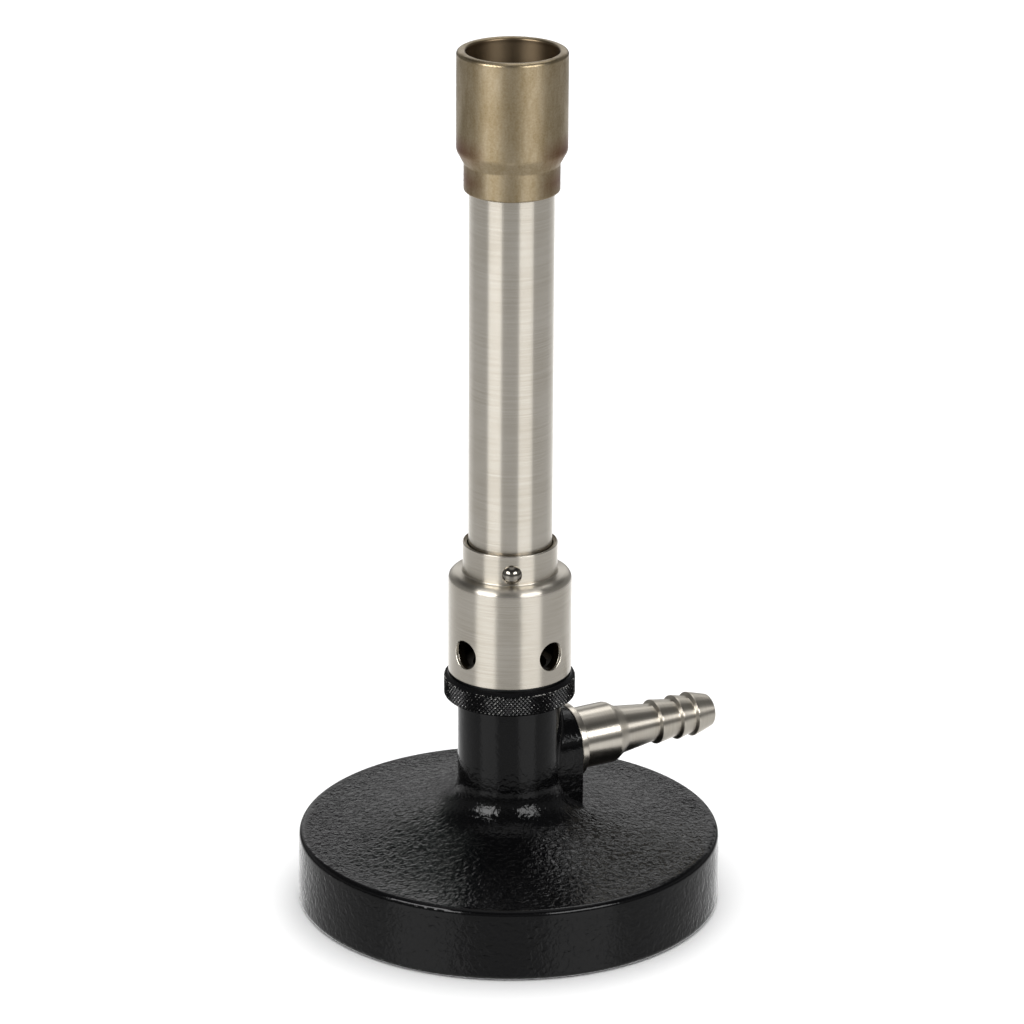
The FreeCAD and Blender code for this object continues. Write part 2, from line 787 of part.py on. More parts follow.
def make_stabilizer_head():
    """Wide mouth on a neck; the slot left round the tube feeds the pilot flames."""
    neck_bore = s.tube_radius + s.thread_gap
    neck_radius = neck_bore + s.head_neck_wall
    mouth_radius = s.tube_radius + s.pilot_slot
    radius = mouth_radius + s.head_wall
    top = head_foot + s.head_height
    cone_foot = head_foot + s.head_neck_height
    cone_top = cone_foot + s.head_cone_height
    body = turned_piece("stabilizer_head", [
        (neck_bore, head_foot),
        (neck_radius - s.head_foot_round, head_foot),
        (neck_radius, head_foot + s.head_foot_round),
        (neck_radius, cone_foot),
        (radius, cone_top),
        (radius, top - s.head_round),
        (radius - s.head_round, top),
        (mouth_radius, top),
        (mouth_radius, head_step),
        (neck_bore, head_step),
    ], {1: (s.head_foot_round, 1), 5: (s.head_round, 1)})
    turning = body.Tip
    edges = round_edges(turning, neck_radius, cone_foot) + round_edges(turning, radius, cone_top)
    dress(body, "Fillet", "cone_edges", turning, edges, s.head_cone_round)
    return body


def check(pieces):
    """Stops on any failed feature or faulty solid."""
    for item in doc.Objects:
        if {"Invalid", "Error"} & set(item.State):
            raise RuntimeError(f"{item.Label} failed: {item.State}")
    for piece in pieces:
        if piece.Shape.isNull() or not piece.Shape.isValid() or len(piece.Shape.Solids) != 1:
            raise RuntimeError(f"{piece.Label} is not one sound solid")


pieces = [
    make_base_casting(),
    make_hose_nozzle(),
    make_nozzle_seal(),
    make_jet_carrier(),
    flat_ring("carrier_seal", s.carrier_spigot_radius + s.seal_gap,
              s.carrier_thread_radius, carrier_seat, s.carrier_seal_thickness),
    make_gas_jet(),
    flat_ring("jet_seal", s.jet_spigot_radius + s.seal_gap,
              s.jet_hex_radius - s.carrier_seat_gap, carrier_top, s.jet_seal_thickness),
    make_mixer_body(),
    make_lock_ring(),
    make_lock_washer(),
    make_air_collar(),
    make_guide_pin(),
    make_burner_tube(),
    make_stabilizer_head(),
]
doc.recompute()
check(pieces)
os.makedirs("parts", exist_ok=True)
for piece in pieces:
    piece.Shape.exportStep(f"parts/{piece.Label}.step")
    box = piece.Shape.BoundBox
    print(f"{piece.Label}: {piece.Shape.Volume:.0f} mm3, z {box.ZMin:.2f} to {box.ZMax:.2f}")
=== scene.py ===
"""Bunsen burner: the finish and the fine shapes of its pieces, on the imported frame, in a plain studio."""
import math

import bmesh
import bpy
from bpy.props import FloatProperty, FloatVectorProperty, IntProperty, PointerProperty
from mathutils import Matrix, Vector


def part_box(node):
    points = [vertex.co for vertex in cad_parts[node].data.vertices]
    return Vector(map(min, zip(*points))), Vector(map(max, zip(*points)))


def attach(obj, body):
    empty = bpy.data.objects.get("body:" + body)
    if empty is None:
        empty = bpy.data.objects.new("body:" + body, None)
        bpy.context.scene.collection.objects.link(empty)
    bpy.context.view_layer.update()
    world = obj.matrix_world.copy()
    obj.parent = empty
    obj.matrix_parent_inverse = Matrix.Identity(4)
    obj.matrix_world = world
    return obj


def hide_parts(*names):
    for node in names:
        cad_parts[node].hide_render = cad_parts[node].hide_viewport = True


bl_info = {
    "name": "Bunsen burner",
    "version": (1, 0, 0),
    "blender": (4, 5, 0),
    "location": "View3D > Sidebar > Burner",
    "description": "Models and finishes the pieces of a laboratory gas burner",
    "category": "Add Mesh",
}

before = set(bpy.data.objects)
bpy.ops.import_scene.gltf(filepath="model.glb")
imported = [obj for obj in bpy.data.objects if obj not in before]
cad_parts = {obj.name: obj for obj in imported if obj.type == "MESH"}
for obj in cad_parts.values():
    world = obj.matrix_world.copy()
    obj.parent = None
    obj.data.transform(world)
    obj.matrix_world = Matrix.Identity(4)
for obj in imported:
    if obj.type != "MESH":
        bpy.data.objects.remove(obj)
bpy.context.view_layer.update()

MM = 0.001
MERGE = 0.0005 * MM
SLIVER = 0.005 * MM
SMOOTH_ANGLE = math.radians(32)
FULL_TURN = 2 * math.pi
TURN_STEPS = 160
CORNER_STEPS = 5
ARC_STEPS = 8
DOME_STEPS = 12
PIN_STEPS = 64
GROOVE_STEPS = 40
PILOT_STEPS = 24


def linear(colour, alpha=1.0):
    """An sRGB hex colour as linear red, green, blue and alpha."""
    parts = [int(colour[i:i + 2], 16) / 255 for i in (1, 3, 5)]
    return tuple(p / 12.92 if p <= 0.04045 else ((p + 0.055) / 1.055) ** 2.4 for p in parts) + (alpha,)


def grey(value):
    """A linear grey."""
    return (value, value, value, 1.0)


def size(name, description, millimetres):
    """A length of the burner that a user may change."""
    return FloatProperty(name=name, description=description, default=millimetres * MM, min=0.0, precision=5,
                         unit="LENGTH")


def colour(name, description, value):
    """A colour of the burner that a user may change."""
    return FloatVectorProperty(name=name, description=description, default=linear(value), size=4, min=0.0,
                               max=1.0, subtype="COLOR")


def turn(name, description, degrees):
    """An angle that a user may change."""
    return FloatProperty(name=name, description=description, default=math.radians(degrees), unit="ROTATION")


class BurnerSizes(bpy.types.PropertyGroup):
    """Sizes of the finer shapes; the overall sizes come from the frame"""
    rim_height: size("Rim height", "Height of the foot's rim", 14.2)
    rim_round: size("Rim round", "Radius of the foot's rounded rim", 1.15)
    nozzle_bore: size("Nozzle bore", "Radius of the gas way through the nozzle", 2.0)
    nozzle_spigot: size("Nozzle spigot", "Radius of the part screwed into the boss", 4.5)
    flange_start: size("Flange start", "Distance from the upright axis to the nozzle's flange", 12.4)
    flange_width: size("Flange width", "Thickness of the nozzle's flange", 1.4)
    shoulder_radius: size("Shoulder radius", "Radius of the nozzle's thick shoulder", 6.0)
    shoulder_length: size("Shoulder length", "Length of the shoulder with its cove", 8.3)
    nozzle_taper: size("Nozzle taper", "Length of the taper after the shoulder", 2.0)
    stem_radius: size("Stem radius", "Radius at the thick end of the stem", 4.75)
    stem_length: size("Stem length", "Length of the stem before the barbs", 7.9)
    barb_root: size("Barb root", "Radius at the foot of each barb", 3.7)
    barb_crest: size("Barb crest", "Radius of each barb's edge", 4.4)
    barb_back: size("Barb back", "Length of the steep side of a barb", 0.4)
    barb_land: size("Barb land", "Width of a barb's edge", 0.25)
    first_barb: size("First barb", "Length of the first barb's slope", 4.15)
    second_barb: size("Second barb", "Length of the second barb's slope", 2.85)
    tip_radius: size("Tip radius", "Radius of the nozzle's free end", 3.15)
    ring_bore: size("Ring bore", "Radius of the hole through the lock ring", 9.45)
    ring_bevel: size("Ring bevel", "Height of the lock ring's top bevel", 0.75)
    ring_foot_bevel: size("Ring foot bevel", "Height of the lock ring's lower bevel", 0.35)
    knurl_pitch: size("Knurl pitch", "Distance between neighbouring knurl points", 0.8)
    knurl_depth: size("Knurl depth", "Depth of the knurl's grooves", 0.24)
    collar_wall: size("Collar wall", "Thickness of the collar's sheet", 0.8)
    collar_height: size("Collar height", "Height of the collar's wide part", 20.1)
    collar_round: size("Collar round", "Radius of the collar's rounded shoulder", 1.5)
    collar_neck: size("Collar neck", "Outer radius of the collar's neck", 9.07)
    port_radius: size("Port radius", "Radius of an air port", 2.8)
    port_rise: size("Port rise", "Height of the ports' centres above the collar's lower edge", 5.7)
    port_bevel: size("Port bevel", "Width of the broken edge round a port", 0.1)
    port_angle: turn("Port angle", "Direction of the first port", -77.0)
    port_count: IntProperty(name="Ports", description="Number of air ports", default=4, min=1)
    pin_head: size("Pin head", "Radius of the guide pin's head", 1.9)
    pin_tail: size("Pin tail", "Radius of the guide pin's tail", 0.9)
    tube_wall: size("Tube wall", "Thickness of the burner tube's wall", 1.0)
    pilot_radius: size("Pilot radius", "Radius of a pilot hole in the tube", 0.7)
    pilot_height: size("Pilot height", "Height of the pilot holes", 151.5)
    pilot_count: IntProperty(name="Pilot holes", description="Number of pilot holes", default=8, min=2)
    groove_width: size("Groove width", "Width of the groove that the pin runs in", 2.04)
    groove_depth: size("Groove depth", "Depth of the groove that the pin runs in", 0.55)
    groove_turn: turn("Groove turn", "Angle that the pin may run in its groove", 45.0)
    head_neck: size("Head neck", "Outer radius of the head's neck", 9.03)
    head_neck_height: size("Head neck height", "Height of the head's neck", 5.3)
    head_cone: size("Head cone", "Height of the cone above the head's neck", 2.6)
    head_step: size("Head step", "Height of the step inside the head", 6.6)
    head_mouth: size("Head mouth", "Radius of the head's mouth", 8.7)
    tint_side: turn("Tint side", "Direction of one of the two sides of the head that ran hottest", -30.0)


class BurnerColours(bpy.types.PropertyGroup):
    """Colours of the finishes"""
    enamel: colour("Enamel", "Black enamel of the foot", "#070708")
    nickel: colour("Nickel", "Brushed nickel of the tube, collar and nozzle", "#d6d0c5")
    nickel_shade: colour("Nickel shade", "Duller patches in the nickel", "#c9c2b5")
    steel: colour("Polished steel", "Mirror polish of the guide pin", "#8f8a82")
    bronze: colour("Heat tint", "Straw and bronze tint of the head", "#b1a288")
    bronze_shade: colour("Heat tint shade", "Darker tint in the head's streaks", "#8f7e5e")
    hot: colour("Deep heat tint", "Red-brown tint where the head ran hottest", "#70432a")
    scale: colour("Fire scale", "Brown scale inside the head", "#7d6d57")
    blackened: colour("Black finish", "Blackened surface of the lock ring", "#0c0c0d")
    worn: colour("Worn edge", "Metal that shows on the knurl's points", "#c4c2be")
    soot: colour("Sooted brass", "Darkened brass of the mixer body", "#3b3326")
    brass: colour("Brass", "Turned brass of the jet and its carrier", "#c9a55c")
    fibre: colour("Fibre", "Pressed fibre of the seals", "#5b2f22")
    floor: colour("Floor", "Pale floor", "#f3f3f3")


class BurnerStage(bpy.types.PropertyGroup):
    """Camera, floor and lights"""
    lens: FloatProperty(name="Lens", description="Focal length of the camera", default=185.5, unit="CAMERA")
    distance: FloatProperty(name="Distance", description="From the camera to the point it looks at",
                            default=1.0032, unit="LENGTH")
    bearing: turn("Bearing", "Direction of the camera about the burner", -120.1)
    rise: turn("Rise", "Angle of the camera above the floor", 20.128)
    roll: turn("Roll", "Tilt of the camera about its line of sight", 0.2912)
    aim: FloatVectorProperty(name="Aim", description="Point that the camera looks at", size=3, unit="LENGTH",
                             default=(0.27 * MM, -0.16 * MM, 79.03 * MM), precision=5)
    floor_width: FloatProperty(name="Floor width", description="Side of the square floor", default=12.0,
                               unit="LENGTH")


def work_alone():
    """Ends edit mode and deselects everything, so that what is added next is alone in the selection."""
    if bpy.context.mode != "OBJECT":
        bpy.ops.object.mode_set(mode="OBJECT")
    bpy.ops.object.select_all(action="DESELECT")


def take_up(piece):
    """Makes a piece the only selected and the active one."""
    work_alone()
    piece.select_set(True)
    bpy.context.view_layer.objects.active = piece


def pick(piece, test):
    """Selects, in edit mode, the vertices whose place passes the test."""
    mesh = bmesh.from_edit_mesh(piece.data)
    for vert in mesh.verts:
        vert.select_set(test(vert.co))
    mesh.select_flush_mode()
    bmesh.update_edit_mesh(piece.data)


def close_up(piece):
    """Merges doubled vertices and turns every face outwards, then leaves edit mode."""
    bpy.ops.mesh.select_all(action="SELECT")
    bpy.ops.mesh.remove_doubles(threshold=MERGE)
    bpy.ops.mesh.delete_loose()
    bpy.ops.mesh.select_all(action="SELECT")
    bpy.ops.mesh.normals_make_consistent(inside=False)
    bpy.ops.object.mode_set(mode="OBJECT")


def turned(name, stations, angle=FULL_TURN, steps=TURN_STEPS):
    """A lathe-turned piece: a closed outline of (radius, height, rounding) corners, spun about the axis."""
    work_alone()
    radius, height, _ = stations[0]
    bpy.ops.mesh.primitive_plane_add(size=MM, location=(radius, 0, height))
    piece = bpy.context.object
    piece.name = name
    bpy.ops.object.transform_apply(location=True)
    bpy.ops.object.mode_set(mode="EDIT")
    bpy.ops.mesh.select_all(action="SELECT")
    bpy.ops.mesh.merge(type="CENTER")
    for (r0, z0, _), (r1, z1, _) in zip(stations, stations[1:]):
        bpy.ops.mesh.extrude_vertices_move(TRANSFORM_OT_translate={"value": (r1 - r0, 0, z1 - z0)})
    bpy.ops.mesh.select_all(action="SELECT")
    bpy.ops.mesh.edge_face_add()
    for radius, height, rounding in stations:
        if rounding:
            corner = Vector((radius, 0, height))
            pick(piece, lambda place: (place - corner).length < MERGE)
            bpy.ops.mesh.bevel(offset=rounding, segments=CORNER_STEPS, affect="VERTICES")
    bpy.ops.mesh.select_all(action="SELECT")
    if angle == FULL_TURN:
        bpy.ops.mesh.delete(type="ONLY_FACE")
        bpy.ops.mesh.select_all(action="SELECT")
    bpy.ops.mesh.spin(steps=steps, angle=angle, center=(0, 0, 0), axis=(0, 0, 1))
    close_up(piece)
    return piece


def set_in_place(piece, place):
    """Moves a piece's mesh by a matrix, so that its object stays at the origin."""
    piece.matrix_world = place
    take_up(piece)
    bpy.ops.object.transform_apply(location=True, rotation=True, scale=True)


def cut(piece, cutter):
    """Takes the cutter's volume out of the piece and removes the cutter."""
    take_up(piece)
    bpy.ops.object.modifier_add(type="BOOLEAN")
    step = piece.modifiers[-1]
    step.object = cutter
    step.solver = "EXACT"
    bpy.ops.object.modifier_apply(modifier=step.name)
    take_up(cutter)
    bpy.ops.object.delete()


def hand_over(piece, body, slot, finish, *nodes):
    """Shades a finished piece, gives it its finish and hangs it on its body in place of its CAD nodes."""
    take_up(piece)
    bpy.ops.object.shade_smooth_by_angle(angle=SMOOTH_ANGLE)
    bpy.ops.object.modifier_add(type="WEIGHTED_NORMAL")
    shading = piece.modifiers[-1]
    shading.keep_sharp = True
    bpy.ops.object.modifier_apply(modifier=shading.name)
    piece.data.materials.clear()
    piece.data.materials.append(finish)
    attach(piece, body)
    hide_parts(*nodes)


def new_finish(name):
    """An empty finish: its material, node tree and surface shader."""
    finish = bpy.data.materials.new(name)
    finish.use_nodes = True
    return finish, finish.node_tree, finish.node_tree.nodes["Principled BSDF"]


def feed(tree, socket, value):
    """Links a socket to the one that feeds it, or sets it to a value."""
    if isinstance(value, bpy.types.NodeSocket):
        tree.links.new(value, socket)
    else:
        socket.default_value = value


def add(tree, kind, inputs=None, stops=None, **settings):
    """Adds a node with its settings; each input is a value or the socket that feeds it."""
    node = tree.nodes.new("ShaderNode" + kind)
    for name, value in settings.items():
        setattr(node, name, value)
    for index, (position, value) in enumerate(stops or []):
        elements = node.color_ramp.elements
        stop = elements[index] if index < 2 else elements.new(position)
        stop.position = position
        stop.color = value
    for name, value in (inputs or {}).items():
        feed(tree, node.inputs[name], value)
    return node


def dress(shader, tree, **inputs):
    """Sets the shader's sockets, named with underscores for spaces, to values or to feeding sockets."""
    for name, value in inputs.items():
        feed(tree, shader.inputs[name.replace("_", " ")], value)


def axis_distance(tree, place):
    """How far each point of the surface lies from the burner's upright axis."""
    level = add(tree, "VectorMath", {0: place, 1: (1, 1, 0)}, operation="MULTIPLY")
    return add(tree, "VectorMath", {0: level.outputs["Vector"]}, operation="LENGTH").outputs["Value"]


def wrinkle_enamel():
    """Stoved wrinkle enamel on cast iron: deep black and half glossy, with crowded soft wrinkles a millimetre
    wide that break every reflection into short curved streaks."""
    finish, tree, shader = new_finish("wrinkle_enamel_on_cast_iron")
    sizes = bpy.context.scene.burner_sizes
    place = add(tree, "TexCoord").outputs["Object"]
    wrinkles = add(tree, "TexNoise", {"Vector": place, "Scale": 1 / (1.15 * MM), "Detail": 2.0,
                                      "Distortion": 0.8})
    swells = add(tree, "TexNoise", {"Vector": place, "Scale": 1 / (6.0 * MM), "Detail": 1.0})
    # The enamel crept together on the dish, ran smoother on upright walls and drew thin over the rim.
    upward = add(tree, "SeparateXYZ", {"Vector": add(tree, "NewGeometry").outputs["Normal"]}).outputs["Z"]
    creep = add(tree, "MapRange", {"Value": upward, "From Min": 0.7, "From Max": 0.95, "To Min": 0.45})
    radius = axis_distance(tree, place)
    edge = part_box("base_casting")[1].y
    rim_height = sizes.rim_height
    rim_foot = rim_height - sizes.rim_round
    land = edge - sizes.rim_round
    dish = add(tree, "MapRange", {"Value": radius, "From Min": land - 1.2 * MM,
                                  "From Max": land - 0.3 * MM, "To Min": 1.0, "To Max": 0.2})
    height = add(tree, "SeparateXYZ", {"Vector": place}).outputs["Z"]
    wall = add(tree, "MapRange", {"Value": height, "From Min": rim_foot - 0.9 * MM, "From Max": rim_foot,
                                  "To Min": 1.0, "To Max": 0.0})
    away = add(tree, "Math", {0: dish.outputs["Result"], 1: wall.outputs["Result"]}, operation="MAXIMUM")
    column = add(tree, "MapRange", {"Value": height, "From Min": rim_height + 7 * MM,
                                    "From Max": rim_height + 12 * MM, "To Min": 1.0, "To Max": 0.3})
    lower = add(tree, "Math", {0: away.outputs["Value"], 1: column.outputs["Result"]}, operation="MULTIPLY")
    depth = add(tree, "Math", {0: creep.outputs["Result"], 1: lower.outputs["Value"]}, operation="MULTIPLY")
    low = add(tree, "Bump", {"Height": swells.outputs["Fac"], "Strength": 0.25, "Distance": 0.3 * MM})
    fine = add(tree, "Bump", {"Height": wrinkles.outputs["Fac"], "Strength": depth.outputs["Value"],
                              "Distance": 0.32 * MM, "Normal": low.outputs["Normal"]})
    gloss = add(tree, "MapRange", {"Value": swells.outputs["Fac"], "From Min": 0.3, "From Max": 0.7,
                                   "To Min": 0.09, "To Max": 0.15})
    dress(shader, tree, Base_Color=bpy.context.scene.burner_colours.enamel, Roughness=gloss.outputs["Result"],
          Specular_IOR_Level=0.22, Normal=fine.outputs["Normal"])
    return finish


def brushed_nickel(axis, roughness, smear):
    """Nickel plate brushed on the lathe: a pale warm grey whose fine rings smear light along the axis."""
    name = "brushed_nickel_about_" + axis.lower()
    if name in bpy.data.materials:
        return bpy.data.materials[name]
    finish, tree, shader = new_finish(name)
    colours = bpy.context.scene.burner_colours
    place = add(tree, "TexCoord").outputs["Object"]
    # Brush marks of about 0.03 mm are too fine to show, so they are drawn 0.2 mm apart and 12 mm long.
    ring, along = 1 / (12 * MM), 1 / (0.2 * MM)
    stretch = [along if letter == axis else ring for letter in "XYZ"]
    grain = add(tree, "Mapping", {"Vector": place, "Scale": stretch})
    marks = add(tree, "TexNoise", {"Vector": grain.outputs["Vector"], "Scale": 1.0, "Detail": 2.0})
    cloud = add(tree, "TexNoise", {"Vector": place, "Scale": 1 / (9 * MM), "Detail": 2.0})
    both = add(tree, "Math", {0: marks.outputs["Fac"], 1: cloud.outputs["Fac"]}, operation="MULTIPLY")
    dull = add(tree, "MapRange", {"Value": both.outputs["Value"], "From Min": 0.1, "From Max": 0.4})
    tone = add(tree, "Mix", {0: dull.outputs["Result"], 6: colours.nickel, 7: colours.nickel_shade},
               data_type="RGBA")
    # Shoulders, coves and edges were turned, not brushed, and mirror the studio more softly.
    facing = add(tree, "SeparateXYZ", {"Vector": add(tree, "NewGeometry").outputs["Normal"]}).outputs[axis]
    tilt = add(tree, "Math", {0: facing}, operation="ABSOLUTE")
    polish = add(tree, "MapRange", {"Value": tilt.outputs["Value"], "From Min": 0.1, "From Max": 0.4,
                                    "To Min": 1.0, "To Max": 1.3})
    brushing = add(tree, "MapRange", {"Value": marks.outputs["Fac"], "From Min": 0.3, "From Max": 0.7,
                                      "To Min": roughness - 0.005, "To Max": roughness + 0.005})
    gloss = add(tree, "Math", {0: brushing.outputs["Result"], 1: polish.outputs["Result"]},
                operation="MULTIPLY")
    relief = add(tree, "Bump", {"Height": marks.outputs["Fac"], "Strength": 0.004, "Distance": 0.05 * MM})
    around = add(tree, "Tangent", direction_type="RADIAL", axis=axis)
    dress(shader, tree, Base_Color=tone.outputs[2], Metallic=1.0, Roughness=gloss.outputs["Value"],
          Anisotropic=smear, Anisotropic_Rotation=0.25, Tangent=around.outputs["Tangent"],
          Normal=relief.outputs["Normal"])
    return finish


def heat_tinted_steel():
    """Turned steel tinted by its own flame: straw to bronze, red-brown low at the sides, and brown scale
    inside."""
    finish, tree, shader = new_finish("heat_tinted_turned_steel")
    scene = bpy.context.scene
    colours = scene.burner_colours
    low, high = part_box("stabilizer_head")
    place = add(tree, "TexCoord").outputs["Object"]
    streak = add(tree, "Mapping", {"Vector": place, "Scale": (1 / (2.5 * MM), 1 / (2.5 * MM), 1 / (9 * MM))})
    streaks = add(tree, "TexNoise", {"Vector": streak.outputs["Vector"], "Scale": 1.0, "Detail": 5.0,
                                     "Roughness": 0.6})
    speckle = add(tree, "TexNoise", {"Vector": place, "Scale": 1 / (0.4 * MM), "Detail": 3.0,
                                     "Roughness": 0.6})
    mottle = add(tree, "Math", {0: speckle.outputs["Fac"], 1: 0.6, 2: streaks.outputs["Fac"]},
                 operation="MULTIPLY_ADD")
    blotch = add(tree, "MapRange", {"Value": mottle.outputs["Value"], "From Min": 0.55, "From Max": 1.05})
    tone = add(tree, "Mix", {0: blotch.outputs["Result"], 6: colours.bronze, 7: colours.bronze_shade},
               data_type="RGBA")
    # Two bands ran hottest: the foot of the neck and the wall just above the cone.
    rise = add(tree, "SeparateXYZ", {"Vector": place}).outputs["Z"]
    share = add(tree, "MapRange", {"Value": rise, "From Min": low.z, "From Max": high.z})
    bands = add(tree, "ValToRGB", {"Fac": share.outputs["Result"]}, stops=[
        (0.0, grey(0.2)), (0.1, grey(1.0)), (0.2, grey(0.2)), (0.33, grey(0.9)), (0.45, grey(0.0))])
    sideways = scene.burner_sizes.tint_side
    aside = add(tree, "VectorMath", {0: place, 1: (math.cos(sideways), math.sin(sideways), 0)},
                operation="DOT_PRODUCT")
    flank = add(tree, "Math", {0: aside.outputs["Value"]}, operation="ABSOLUTE")
    side = add(tree, "MapRange", {"Value": flank.outputs["Value"], "From Min": 0.45 * high.x,
                                  "From Max": 0.95 * high.x})
    patch = add(tree, "Math", {0: bands.outputs["Color"], 1: side.outputs["Result"]}, operation="MULTIPLY")
    tinted = add(tree, "Mix", {0: patch.outputs["Value"], 6: tone.outputs[2], 7: colours.hot},
                 data_type="RGBA")
    radius = axis_distance(tree, place)
    mouth = scene.burner_sizes.head_mouth
    inside = add(tree, "MapRange", {"Value": radius, "From Min": mouth + 0.05 * MM,
                                    "From Max": mouth + 0.3 * MM, "To Min": 1.0, "To Max": 0.0})
    whole = add(tree, "Mix", {0: inside.outputs["Result"], 6: tinted.outputs[2], 7: colours.scale},
                data_type="RGBA")
    # The rim was turned last and stays smoother than the wall.
    rim = add(tree, "MapRange", {"Value": share.outputs["Result"], "From Min": 0.955, "From Max": 0.975,
                                 "To Min": 1.0, "To Max": 0.8})
    grain = add(tree, "MapRange", {"Value": mottle.outputs["Value"], "From Min": 0.55, "From Max": 1.05,
                                   "To Min": 0.4, "To Max": 0.5})
    gloss = add(tree, "Math", {0: grain.outputs["Result"], 1: rim.outputs["Result"]}, operation="MULTIPLY")
    around = add(tree, "Tangent", direction_type="RADIAL", axis="Z")
    dress(shader, tree, Base_Color=whole.outputs[2], Metallic=1.0, Roughness=gloss.outputs["Value"],
          Anisotropic=0.6, Anisotropic_Rotation=0.25, Tangent=around.outputs["Tangent"])
    return finish


def mirror_steel():
    """Hardened steel polished to a mirror: it shows the studio sharp and small, with only a trace of haze."""
    finish, tree, shader = new_finish("mirror_polished_steel")
    place = add(tree, "TexCoord").outputs["Object"]
    haze = add(tree, "TexNoise", {"Vector": place, "Scale": 1 / (0.8 * MM), "Detail": 2.0})
    gloss = add(tree, "MapRange", {"Value": haze.outputs["Fac"], "To Min": 0.1, "To Max": 0.2})
    dress(shader, tree, Base_Color=bpy.context.scene.burner_colours.steel, Metallic=1.0,
          Roughness=gloss.outputs["Result"])
    return finish


def blackened_knurl():
    """Blackened steel under a cut diamond knurl: black grooves, and points rubbed bright enough to
    sparkle."""
    finish, tree, shader = new_finish("blackened_knurled_steel")
    scene = bpy.context.scene
    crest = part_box("lock_ring")[1].x
    place = add(tree, "TexCoord").outputs["Object"]
    radius = axis_distance(tree, place)
    rub = add(tree, "MapRange", {"Value": radius, "From Max": crest,
                                 "From Min": crest - 0.45 * scene.burner_sizes.knurl_depth})
    patches = add(tree, "TexNoise", {"Vector": place, "Scale": 1 / (0.6 * MM), "Detail": 4.0,
                                     "Roughness": 0.7})
    worn = add(tree, "MapRange", {"Value": patches.outputs["Fac"], "From Min": 0.53, "From Max": 0.58})
    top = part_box("lock_ring")[1].z - scene.burner_sizes.ring_bevel
    height = add(tree, "SeparateXYZ", {"Vector": place}).outputs["Z"]
    lip = add(tree, "Math", {0: height, 1: top, 2: 0.12 * MM}, operation="COMPARE")
    edge = add(tree, "Math", {0: lip.outputs["Value"], 1: rub.outputs["Result"]}, operation="MAXIMUM")
    share = add(tree, "Math", {0: edge.outputs["Value"], 1: worn.outputs["Result"]}, operation="MULTIPLY")
    tone = add(tree, "Mix", {0: share.outputs["Value"], 6: scene.burner_colours.blackened,
                             7: scene.burner_colours.worn}, data_type="RGBA")
    gloss = add(tree, "MapRange", {"Value": share.outputs["Value"], "To Min": 0.22, "To Max": 0.42})
    dress(shader, tree, Base_Color=tone.outputs[2], Metallic=share.outputs["Value"],
          Roughness=gloss.outputs["Result"], Specular_IOR_Level=0.15)
    return finish


def grained_metal(name, tone, grain, metallic, roughness):
    """A plain machined or pressed surface with a fine mottle of the given grain in millimetres."""
    finish, tree, shader = new_finish(name)
    place = add(tree, "TexCoord").outputs["Object"]
    mottle = add(tree, "TexNoise", {"Vector": place, "Scale": 1 / (grain * MM), "Detail": 3.0})
    shade = [0.6 * part for part in tone[:3]] + [1.0]
    mixed = add(tree, "Mix", {0: mottle.outputs["Fac"], 6: tone, 7: shade}, data_type="RGBA")
    gloss = add(tree, "MapRange", {"Value": mottle.outputs["Fac"], "To Min": roughness - 0.08,
                                   "To Max": roughness + 0.08})
    relief = add(tree, "Bump", {"Height": mottle.outputs["Fac"], "Strength": 0.15, "Distance": 0.1 * MM})
    dress(shader, tree, Base_Color=mixed.outputs[2], Metallic=metallic, Roughness=gloss.outputs["Result"],
          Normal=relief.outputs["Normal"])
    return finish


class BURNER_OT_foot(bpy.types.Operator):
    """Takes the cast foot, column and boss from the frame, welds the casting's skin and enamels it"""
    bl_idname = "burner.foot"
    bl_label = "Cast foot"

    def execute(self, context):
        foot = bpy.data.objects.new("cast_foot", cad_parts["base_casting"].data.copy())
        context.scene.collection.objects.link(foot)
        take_up(foot)
        bpy.ops.object.mode_set(mode="EDIT")
        bpy.ops.mesh.select_all(action="SELECT")
        bpy.ops.mesh.remove_doubles(threshold=MERGE)
        bpy.ops.mesh.dissolve_degenerate(threshold=SLIVER)
        bpy.ops.object.mode_set(mode="OBJECT")
        hand_over(foot, "burner", "black_enamel", wrinkle_enamel(), "base_casting")
        return {"FINISHED"}


